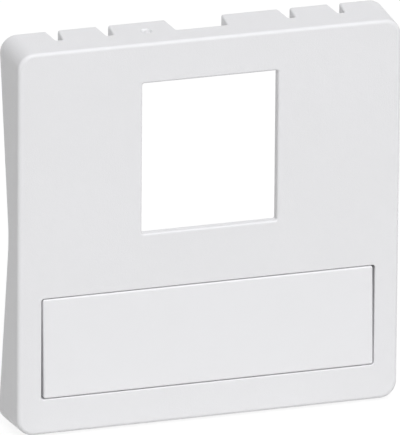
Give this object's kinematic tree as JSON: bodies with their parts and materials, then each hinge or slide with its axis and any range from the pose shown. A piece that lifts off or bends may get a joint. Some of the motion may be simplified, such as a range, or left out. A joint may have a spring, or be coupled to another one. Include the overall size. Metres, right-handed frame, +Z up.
{
  "type": "data outlet cover plate",
  "caption": "White moulded cover plate for a data outlet, with a jack window, a flush label cover in its pocket and slotted clip walls behind.",
  "frame": {"origin": "middle of the plane in which the ends of the rear rim lie", "axes": "+X to the right, +Y into the wall, +Z up; the front face looks along -Y"},
  "size_m": [0.0504, 0.007, 0.0508],
  "materials": {
    "plate_white": "satin moulded white",
    "label_white": "smooth satin white"
  },
  "bodies": {
    "plate": {"cover_plate": "plate_white"},
    "label": {"label_cover": "label_white"}
  },
  "joints": [
    {"name": "label_cover_pull", "type": "slide", "parent": "plate", "child": "label", "axis": [0, -1, 0], "range_m": [0, 0.008]}
  ]
}
